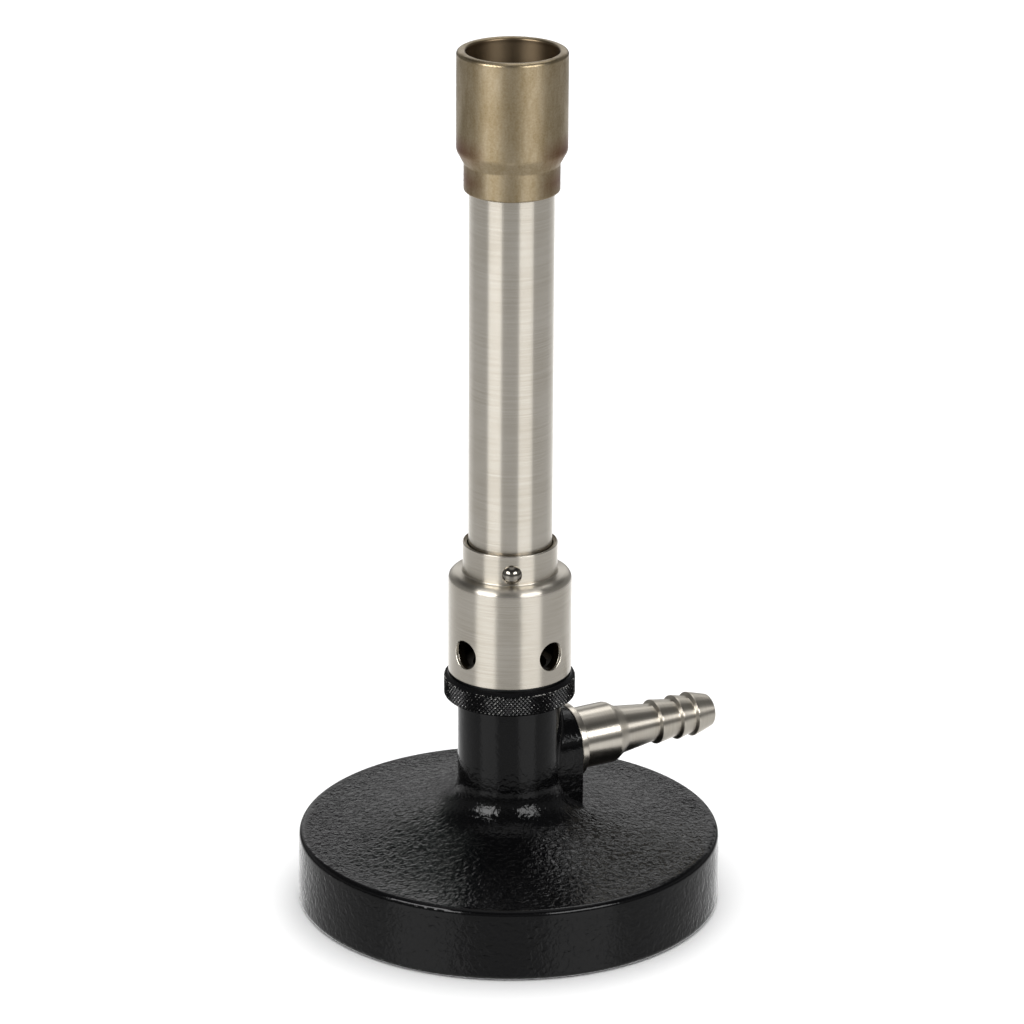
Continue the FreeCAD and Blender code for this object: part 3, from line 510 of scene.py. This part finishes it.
class BURNER_OT_hose_nozzle(bpy.types.Operator):
    """Turns the hose nozzle with its flange, shoulder, stem and three barbs, and lays it along its axis"""
    bl_idname = "burner.hose_nozzle"
    bl_label = "Hose nozzle"

    def execute(self, context):
        sizes = context.scene.burner_sizes
        low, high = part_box("hose_nozzle")
        flange = (high.z - low.z) / 2
        flange_end = sizes.flange_start + sizes.flange_width
        flange_edge = 0.2 * MM
        cove = 0.4 * MM
        shoulder_edge = 0.3 * MM
        stem_blend = 0.5 * MM
        barb_edge = 0.1 * MM
        tip_round = 0.5 * MM
        bore_edge = 0.2 * MM
        shoulder_end = flange_end + sizes.shoulder_length
        stem = shoulder_end + sizes.nozzle_taper
        root = stem + sizes.stem_length
        outline = [
            (sizes.nozzle_bore, low.x, 0),
            (sizes.nozzle_spigot, low.x, 0),
            (sizes.nozzle_spigot, sizes.flange_start, 0),
            (flange, sizes.flange_start, flange_edge),
            (flange, flange_end, flange_edge),
            (sizes.shoulder_radius, flange_end, cove),
            (sizes.shoulder_radius, shoulder_end, shoulder_edge),
            (sizes.stem_radius, stem, stem_blend),
        ]
        for slope in (sizes.first_barb, sizes.second_barb, high.x):
            crest = root + sizes.barb_back
            land = crest + sizes.barb_land
            outline.append((sizes.barb_root, root, barb_edge))
            outline.append((sizes.barb_crest, crest, barb_edge))
            outline.append((sizes.barb_crest, land, barb_edge))
            root = land + slope
        outline.append((sizes.tip_radius, high.x, tip_round))
        outline.append((sizes.nozzle_bore, high.x, bore_edge))
        nozzle = turned("hose_nozzle_barbed", outline)
        lie_down = Matrix.Rotation(math.pi / 2, 4, "Y")
        set_in_place(nozzle, Matrix.Translation((0, 0, (low.z + high.z) / 2)) @ lie_down)
        hand_over(nozzle, "burner", "brushed_nickel", brushed_nickel("X", 0.3, 0.85), "hose_nozzle")
        return {"FINISHED"}


class BURNER_OT_lock_ring(bpy.types.Operator):
    """Turns the lock ring and presses its diamond knurl into the rim"""
    bl_idname = "burner.lock_ring"
    bl_label = "Knurled lock ring"

    def execute(self, context):
        sizes = context.scene.burner_sizes
        low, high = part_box("lock_ring")
        crest = high.x
        points = round(2 * math.pi * crest / sizes.knurl_pitch)
        band_low = low.z + sizes.ring_foot_bevel
        band_high = high.z - sizes.ring_bevel
        rows = 2 * round((band_high - band_low) / sizes.knurl_pitch)
        step = (band_high - band_low) / rows
        top_edge = 0.15 * MM
        bore_edge = 0.2 * MM
        outline = [(sizes.ring_bore, low.z, 0), (crest - sizes.ring_foot_bevel, low.z, 0)]
        outline += [(crest, band_low + row * step, 0) for row in range(rows + 1)]
        outline += [(crest - sizes.ring_bevel, high.z, top_edge), (sizes.ring_bore, high.z, bore_edge)]
        ring = turned("lock_ring_knurled", outline, steps=2 * points)
        take_up(ring)
        bpy.ops.object.mode_set(mode="EDIT")

        def in_groove(place):
            """Every second vertex of each row, and of each column, lies in a groove."""
            if math.hypot(place.x, place.y) < crest - MERGE:
                return False
            column = round(math.atan2(place.y, place.x) / math.pi * points)
            row = round((place.z - band_low) / step)
            return (column + row) % 2 == 1

        pick(ring, in_groove)
        sunk = 1 - sizes.knurl_depth / crest
        bpy.ops.transform.resize(value=(sunk, sunk, 1), center_override=(0, 0, 0))
        bpy.ops.mesh.select_all(action="SELECT")
        bpy.ops.mesh.quads_convert_to_tris(quad_method="SHORTEST_DIAGONAL")
        bpy.ops.object.mode_set(mode="OBJECT")
        hand_over(ring, "ring", "blackened_knurl", blackened_knurl(), "lock_ring")
        return {"FINISHED"}


class BURNER_OT_air_collar(bpy.types.Operator):
    """Rolls the air collar from a sheet with round ports, and draws in its shoulder and neck"""
    bl_idname = "burner.air_collar"
    bl_label = "Air collar"
    rays = 128
    bands = 14

    def port_tile(self, sizes, half_width, below, above):
        """One share of the sheet with its port at the origin: rings of faces from the port to the edge."""
        work_alone()
        bevel = sizes.port_bevel
        bpy.ops.mesh.primitive_circle_add(vertices=self.rays, radius=sizes.port_radius, fill_type="NOTHING",
                                          location=(0, bevel, 0), rotation=(math.pi / 2, 0, 0))
        tile = bpy.context.object
        bpy.ops.object.transform_apply(location=True, rotation=True)
        bpy.ops.object.mode_set(mode="EDIT")
        bpy.ops.mesh.select_all(action="SELECT")
        bpy.ops.mesh.extrude_edges_move(TRANSFORM_OT_translate={"value": (0, -bevel, 0)})
        grown = 1 + bevel / sizes.port_radius
        bpy.ops.transform.resize(value=(grown, 1, grown), center_override=(0, 0, 0))
        start = sizes.port_radius + bevel
        corners = [Vector((x, 0, z)) for x in (-half_width, half_width) for z in (-below, above)]
        for band in range(1, self.bands + 1):
            bpy.ops.mesh.extrude_edges_move()
            mesh = bmesh.from_edit_mesh(tile.data)
            for vert in [v for v in mesh.verts if v.select]:
                ray = Vector((vert.co.x, 0, vert.co.z)).normalized()
                tall = above if ray.z > 0 else below
                reach = min(half_width / max(abs(ray.x), MM), tall / max(abs(ray.z), MM))
                vert.co = ray * (start + (reach - start) * band / self.bands)
            bmesh.update_edit_mesh(tile.data)
        mesh = bmesh.from_edit_mesh(tile.data)
        for corner in corners:
            nearest = min(mesh.verts, key=lambda v: (v.co - corner).length)
            nearest.co = corner
        bmesh.update_edit_mesh(tile.data)
        return tile

    def draw_loop(self, piece, height, stations):
        """Extrudes the open edge at a height through (radius, height) stations."""
        pick(piece, lambda place: abs(place.z - height) < MERGE)
        for (r0, z0), (r1, z1) in zip(stations, stations[1:]):
            bpy.ops.mesh.extrude_edges_move(TRANSFORM_OT_translate={"value": (0, 0, z1 - z0)})
            bpy.ops.transform.resize(value=(r1 / r0, r1 / r0, 1), center_override=(0, 0, 0))

    def execute(self, context):
        sizes = context.scene.burner_sizes
        low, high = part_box("air_collar")
        radius = high.x
        port_height = low.z + sizes.port_rise
        edge = 0.15 * MM
        shoulder = low.z + sizes.collar_height
        straight_top = shoulder - sizes.collar_round
        half_width = math.pi * radius / sizes.port_count
        collar = self.port_tile(sizes, half_width, sizes.port_rise - edge, straight_top - port_height)
        collar.name = "air_collar_ported"
        bpy.ops.mesh.select_all(action="SELECT")
        for _ in range(1, sizes.port_count):
            bpy.ops.mesh.duplicate_move(TRANSFORM_OT_translate={"value": (2 * half_width, 0, 0)})
        mesh = bmesh.from_edit_mesh(collar.data)
        for vert in mesh.verts:
            angle = sizes.port_angle + vert.co.x / radius
            depth = radius - vert.co.y
            vert.co = (depth * math.cos(angle), depth * math.sin(angle), port_height + vert.co.z)
        bmesh.update_edit_mesh(collar.data)
        bpy.ops.mesh.select_all(action="SELECT")
        bpy.ops.mesh.remove_doubles(threshold=MERGE)
        self.draw_loop(collar, low.z + edge, [(radius, low.z + edge), (radius - edge, low.z)])
        round_steps = [math.pi / 2 * step / ARC_STEPS for step in range(ARC_STEPS + 1)]
        inset = radius - sizes.collar_round
        outline = [(inset + sizes.collar_round * math.cos(a), straight_top + sizes.collar_round * math.sin(a))
                   for a in round_steps]
        root = 0.35 * MM
        neck = sizes.collar_neck
        outline += [(neck + root * (1 - math.sin(a)), shoulder + root * (1 - math.cos(a)))
                    for a in round_steps[::2]]
        rim = 0.2 * MM
        outline += [(neck - rim * (1 - math.cos(a)), high.z - rim * (1 - math.sin(a)))
                    for a in round_steps[::2]]
        self.draw_loop(collar, straight_top, outline)
        close_up(collar)
        take_up(collar)
        bpy.ops.object.modifier_add(type="SOLIDIFY")
        wall = collar.modifiers[-1]
        wall.thickness = sizes.collar_wall
        wall.offset = -1
        wall.use_even_offset = True
        bpy.ops.object.modifier_apply(modifier=wall.name)
        # The sleeve is bored square under its roof, where the mixer body's edge runs.
        bore_round = sizes.collar_round - sizes.collar_wall
        bpy.ops.object.mode_set(mode="EDIT")
        mesh = bmesh.from_edit_mesh(collar.data)
        for vert in mesh.verts:
            reach = math.hypot(vert.co.x, vert.co.y)
            across = reach - inset
            up = vert.co.z - straight_top
            if min(across, up) > 0 and math.hypot(across, up) < bore_round + edge:
                stretch = bore_round / max(across, up)
                wider = (inset + across * stretch) / reach
                vert.co = (vert.co.x * wider, vert.co.y * wider, straight_top + up * stretch)
        bmesh.update_edit_mesh(collar.data)
        bpy.ops.object.mode_set(mode="OBJECT")
        hand_over(collar, "collar", "brushed_nickel", brushed_nickel("Z", 0.26, 0.95), "air_collar")
        return {"FINISHED"}


class BURNER_OT_guide_pin(bpy.types.Operator):
    """Turns the domed guide pin and sets it into the collar's neck"""
    bl_idname = "burner.guide_pin"
    bl_label = "Guide pin"

    def execute(self, context):
        sizes = context.scene.burner_sizes
        low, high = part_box("guide_pin")
        middle = (low + high) / 2
        bearing = math.atan2(middle.y, middle.x)
        verts = [math.hypot(v.co.x, v.co.y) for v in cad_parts["guide_pin"].data.vertices]
        tail, crown = min(verts), max(verts)
        neck = sizes.collar_neck
        sink = 0.22 * MM
        stand = 0.12 * MM
        seat, rim = neck - sink, neck + stand
        head = sizes.pin_head
        rise = crown - rim
        ball = (head ** 2 + rise ** 2) / (2 * rise)
        half_arc = math.asin(head / ball)
        arcs = [half_arc * (1 - step / DOME_STEPS) for step in range(DOME_STEPS + 1)]
        dome = [(ball * math.sin(arc), crown - ball + ball * math.cos(arc), 0) for arc in arcs]
        outline = [(0, tail, 0), (sizes.pin_tail, tail, 0), (sizes.pin_tail, seat, 0), (head, seat, 0)] + dome
        pin = turned("guide_pin_domed", outline, steps=PIN_STEPS)
        point_out = Matrix.Rotation(bearing, 4, "Z") @ Matrix.Rotation(math.pi / 2, 4, "Y")
        set_in_place(pin, Matrix.Translation((0, 0, middle.z)) @ point_out)
        hand_over(pin, "collar", "polished_steel", mirror_steel(), "guide_pin")
        return {"FINISHED"}


class BURNER_OT_burner_tube(bpy.types.Operator):
    """Turns the burner tube, drills its pilot holes and cuts the groove that the guide pin runs in"""
    bl_idname = "burner.burner_tube"
    bl_label = "Burner tube"

    def execute(self, context):
        sizes = context.scene.burner_sizes
        low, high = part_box("burner_tube")
        radius = high.x
        bore = radius - sizes.tube_wall
        edge = 0.25 * MM
        tube = turned("burner_tube_brushed", [(bore, low.z, 0), (radius, low.z, edge), (radius, high.z, edge),
                                              (bore, high.z, edge)])
        pin_low, pin_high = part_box("guide_pin")
        pin = (pin_low + pin_high) / 2
        floor = radius - sizes.groove_depth
        side = sizes.groove_width / 2
        room = 1.12
        spare = math.asin(room * side / floor)
        # Spin runs clockwise for a positive angle, and the pin runs the other way.
        groove = turned("groove_cutter", [(floor, pin.z - side, 0), (radius + edge, pin.z - side, 0),
                                          (radius + edge, pin.z + side, 0), (floor, pin.z + side, 0)],
                        angle=-(sizes.groove_turn + 2 * spare), steps=GROOVE_STEPS)
        set_in_place(groove, Matrix.Rotation(math.atan2(pin.y, pin.x) - spare, 4, "Z"))
        cut(tube, groove)
        for step in range(sizes.pilot_count // 2):
            work_alone()
            bearing = 2 * math.pi * step / sizes.pilot_count
            bpy.ops.mesh.primitive_cylinder_add(vertices=PILOT_STEPS, radius=sizes.pilot_radius,
                                                depth=2 * (radius + edge),
                                                location=(0, 0, sizes.pilot_height),
                                                rotation=(math.pi / 2, 0, bearing))
            cut(tube, context.object)
        hand_over(tube, "burner", "brushed_nickel", brushed_nickel("Z", 0.26, 0.95), "burner_tube")
        return {"FINISHED"}


class BURNER_OT_stabilizer_head(bpy.types.Operator):
    """Turns the stabilizer head with its neck, cone, stepped bore and rounded mouth"""
    bl_idname = "burner.stabilizer_head"
    bl_label = "Stabilizer head"

    def execute(self, context):
        sizes = context.scene.burner_sizes
        low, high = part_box("stabilizer_head")
        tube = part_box("burner_tube")[1].x
        slip = 0.05 * MM
        bore = tube + slip
        bore_edge = 0.2 * MM
        neck_edge = 0.4 * MM
        neck_blend = 0.15 * MM
        cone_blend = 0.4 * MM
        rim_round = 0.7 * MM
        mouth_round = 0.45 * MM
        neck_top = low.z + sizes.head_neck_height
        cone_top = neck_top + sizes.head_cone
        head = turned("stabilizer_head_turned", [
            (bore, low.z, bore_edge),
            (sizes.head_neck, low.z, neck_edge),
            (sizes.head_neck, neck_top, neck_blend),
            (high.x, cone_top, cone_blend),
            (high.x, high.z, rim_round),
            (sizes.head_mouth, high.z, mouth_round),
            (sizes.head_mouth, low.z + sizes.head_step, 0),
            (bore, low.z + sizes.head_step, 0),
        ])
        hand_over(head, "burner", "heat_tinted_steel", heat_tinted_steel(), "stabilizer_head")
        return {"FINISHED"}


class BURNER_OT_inner_pieces(bpy.types.Operator):
    """Finishes the pieces inside the burner, which keep their frame shapes"""
    bl_idname = "burner.inner_pieces"
    bl_label = "Inner pieces"

    def execute(self, context):
        colours = context.scene.burner_colours
        sooted = grained_metal("sooted_turned_brass", colours.soot, 0.8, 1.0, 0.5)
        turned_brass = grained_metal("lathe_turned_brass", colours.brass, 0.5, 1.0, 0.3)
        oxide = grained_metal("black_oxide_steel", colours.blackened, 0.4, 0.0, 0.4)
        fibre = grained_metal("pressed_fibre", colours.fibre, 0.3, 0.0, 0.8)
        finishes = {"mixer_body": sooted, "jet_carrier": turned_brass, "gas_jet": turned_brass,
                    "lock_washer": oxide, "nozzle_seal": fibre, "carrier_seal": fibre, "jet_seal": fibre}
        for name, finish in finishes.items():
            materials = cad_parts[name].data.materials
            materials.clear()
            materials.append(finish)
        return {"FINISHED"}


class BURNER_OT_stage(bpy.types.Operator):
    """Lays the pale floor, hangs the soft lights and sets up the camera"""
    bl_idname = "burner.stage"
    bl_label = "Studio stage"
    # A softbox has a name, a turn from the camera in degrees and a power in watts.
    softboxes = (("left_softbox", -46, 13), ("right_softbox", 41, 10))
    softbox_width = 0.85
    softbox_height = 0.5
    softbox_distance = 1.2
    softbox_rise = 0.7
    dome_rise = 2
    dome_strength = 3.5
    dome_spread = math.radians(114)
    # A lamp has a turn and a rise, the angles where its light ends and is full, and a strength.
    lamps = ((0, 90, 30, 12, 0.6), (142, 56, 13, 7, 1.0), (170, 52, 13, 7, 2.5))

    def lay_floor(self, scene):
        """Lays the pale floor, which the gloss of the pieces doesn't show."""
        work_alone()
        bpy.ops.mesh.primitive_plane_add(size=scene.burner_stage.floor_width)
        floor = bpy.context.object
        floor.name = "floor"
        paint, tree, shader = new_finish("matt_white_paint")
        dress(shader, tree, Base_Color=scene.burner_colours.floor, Roughness=0.9)
        floor.data.materials.append(paint)
        floor.visible_glossy = False

    def hang_softbox(self, name, out, power):
        """Hangs a softbox on one side of the burner, seen only in its gloss."""
        bpy.ops.object.light_add(type="AREA",
                                 location=self.softbox_distance * out + Vector((0, 0, self.softbox_rise)))
        lamp = bpy.context.object
        lamp.name = name
        lamp.rotation_euler = (-out).to_track_quat("-Z", "Y").to_euler()
        lamp.data.shape = "RECTANGLE"
        lamp.data.size = self.softbox_width
        lamp.data.size_y = self.softbox_height
        lamp.data.energy = power
        lamp.visible_diffuse = False

    def hang_dome(self, aim):
        """Lights everything softly from above, and leaves no mark in the gloss."""
        bpy.ops.object.light_add(type="SUN", location=aim + Vector((0, 0, self.dome_rise)))
        dome = bpy.context.object
        dome.name = "ceiling_dome"
        dome.data.energy = self.dome_strength
        dome.data.angle = self.dome_spread
        dome.visible_glossy = False

    def light_backdrop(self, scene, box_sides):
        """Paints the studio that the gloss mirrors: walls, table, softboxes' shine and small lamps."""
        stage = scene.burner_stage
        scene.world = bpy.data.worlds.new("studio")
        scene.world.use_nodes = True
        tree = scene.world.node_tree
        backdrop = tree.nodes["Background"]
        towards = Vector((math.cos(stage.bearing), math.sin(stage.bearing), 0))
        sky = add(tree, "TexCoord").outputs["Generated"]
        level = add(tree, "VectorMath", {0: sky, 1: (1, 1, 0)}, operation="MULTIPLY")
        flat = add(tree, "VectorMath", {0: level.outputs["Vector"]}, operation="NORMALIZE")
        flat = flat.outputs["Vector"]
        facing = add(tree, "VectorMath", {0: flat, 1: towards}, operation="DOT_PRODUCT")
        front = add(tree, "MapRange", {"Value": facing.outputs["Value"], "From Min": -0.97,
                                       "From Max": -0.85})
        rise = add(tree, "SeparateXYZ", {"Vector": sky}).outputs["Z"]
        share = add(tree, "MapRange", {"Value": rise, "From Min": -1, "From Max": 1}).outputs["Result"]
        camera_side = add(tree, "ValToRGB", {"Fac": share}, stops=[
            (0.0, grey(0.7)), (0.15, grey(0.7)), (0.33, grey(0.62)), (0.42, grey(0.5)), (0.465, grey(0.1)),
            (0.52, grey(0.1)), (0.57, grey(0.25)), (0.7, grey(0.25)), (0.76, grey(0.08)), (1.0, grey(0.06))])
        far_side = add(tree, "ValToRGB", {"Fac": share}, stops=[
            (0.0, grey(0.8)), (0.15, grey(0.95)), (0.33, grey(1.0)), (0.37, grey(0.95)), (0.4, grey(0.1)),
            (0.51, grey(0.1)), (0.55, grey(0.75)), (0.62, grey(0.95)), (0.7, grey(0.9)), (0.74, grey(0.3)),
            (0.77, grey(0.12)), (0.85, grey(0.15)), (0.875, grey(0.3)), (0.93, grey(0.3)),
            (0.95, grey(0.12)), (1.0, grey(0.06))])
        glow = add(tree, "Mix", {0: front.outputs["Result"], 6: far_side.outputs["Color"],
                                 7: camera_side.outputs["Color"]}, data_type="RGBA").outputs[2]
        # The table mirrors each softbox below the horizon, dimmer the steeper it is seen.
        shine = add(tree, "ValToRGB", {"Fac": share}, stops=[
            (0.1, grey(0.1)), (0.33, grey(0.65)), (0.42, grey(0.65)), (0.46, grey(0.0))]).outputs["Color"]
        spots = [(flat, side, 23, 15, shine) for side in box_sides]
        # The table is brightest behind the burner.
        rear = add(tree, "ValToRGB", {"Fac": share}, stops=[
            (0.15, grey(0.3)), (0.37, grey(0.4)), (0.41, grey(0.0))]).outputs["Color"]
        spots.append((flat, -towards, 60, 15, rear))
        # Soft lamps hang overhead and high on the right, and a small one high at the back gives glints.
        for lamp_turn, lamp_rise, outer, inner, power in self.lamps:
            bearing = stage.bearing + math.radians(lamp_turn)
            rise_to = math.radians(lamp_rise)
            lamp_side = Vector((math.cos(bearing) * math.cos(rise_to), math.sin(bearing) * math.cos(rise_to),
                                math.sin(rise_to)))
            spots.append((sky, lamp_side, outer, inner, grey(power)))
        for ray, side, outer, inner, light in spots:
            near = add(tree, "VectorMath", {0: ray, 1: side}, operation="DOT_PRODUCT")
            spot = add(tree, "MapRange", {"Value": near.outputs["Value"],
                                          "From Min": math.cos(math.radians(outer)),
                                          "From Max": math.cos(math.radians(inner))})
            glow = add(tree, "Mix", {0: spot.outputs["Result"], 6: glow, 7: light}, data_type="RGBA",
                       blend_type="ADD").outputs[2]
        tree.links.new(glow, backdrop.inputs["Color"])
        backdrop.inputs["Strength"].default_value = 1.0

    def set_camera(self, scene):
        """Sets the camera at the photograph's angle."""
        stage = scene.burner_stage
        towards = Vector((math.cos(stage.bearing), math.sin(stage.bearing), 0))
        out = towards * math.cos(stage.rise) + Vector((0, 0, math.sin(stage.rise)))
        bpy.ops.object.camera_add(location=Vector(stage.aim) + stage.distance * out)
        camera = bpy.context.object
        level = (-out).to_track_quat("-Z", "Y").to_matrix().to_4x4()
        camera.rotation_euler = (level @ Matrix.Rotation(stage.roll, 4, "Z")).to_euler()
        camera.data.lens = stage.lens
        scene.camera = camera
        scene.view_settings.view_transform = "Standard"

    def execute(self, context):
        scene = context.scene
        stage = scene.burner_stage
        self.lay_floor(scene)
        box_sides = []
        for name, bearing, power in self.softboxes:
            turn_to = stage.bearing + math.radians(bearing)
            out = Vector((math.cos(turn_to), math.sin(turn_to), 0))
            box_sides.append(out)
            self.hang_softbox(name, out, power)
        self.hang_dome(Vector(stage.aim))
        self.light_backdrop(scene, box_sides)
        self.set_camera(scene)
        return {"FINISHED"}


PIECES = (BURNER_OT_foot, BURNER_OT_hose_nozzle, BURNER_OT_lock_ring, BURNER_OT_air_collar,
          BURNER_OT_guide_pin, BURNER_OT_burner_tube, BURNER_OT_stabilizer_head, BURNER_OT_inner_pieces,
          BURNER_OT_stage)


class BURNER_PT_panel(bpy.types.Panel):
    """Lists the burner's pieces, sizes and colours"""
    bl_idname = "BURNER_PT_panel"
    bl_label = "Bunsen burner"
    bl_space_type = "VIEW_3D"
    bl_region_type = "UI"
    bl_category = "Burner"

    def draw(self, context):
        for operator in PIECES:
            self.layout.operator(operator.bl_idname)
        for group in ("burner_sizes", "burner_colours", "burner_stage"):
            settings = getattr(context.scene, group)
            for name in settings.__annotations__:
                self.layout.prop(settings, name)


CLASSES = (BurnerSizes, BurnerColours, BurnerStage) + PIECES + (BURNER_PT_panel,)


def register():
    for item in CLASSES:
        bpy.utils.register_class(item)
    bpy.types.Scene.burner_sizes = PointerProperty(type=BurnerSizes)
    bpy.types.Scene.burner_colours = PointerProperty(type=BurnerColours)
    bpy.types.Scene.burner_stage = PointerProperty(type=BurnerStage)


def unregister():
    del bpy.types.Scene.burner_stage
    del bpy.types.Scene.burner_colours
    del bpy.types.Scene.burner_sizes
    for item in reversed(CLASSES):
        bpy.utils.unregister_class(item)


def main():
    register()
    bpy.ops.burner.foot()
    bpy.ops.burner.hose_nozzle()
    bpy.ops.burner.lock_ring()
    bpy.ops.burner.air_collar()
    bpy.ops.burner.guide_pin()
    bpy.ops.burner.burner_tube()
    bpy.ops.burner.stabilizer_head()
    bpy.ops.burner.inner_pieces()
    bpy.ops.burner.stage()


if __name__ == "__main__":
    main()
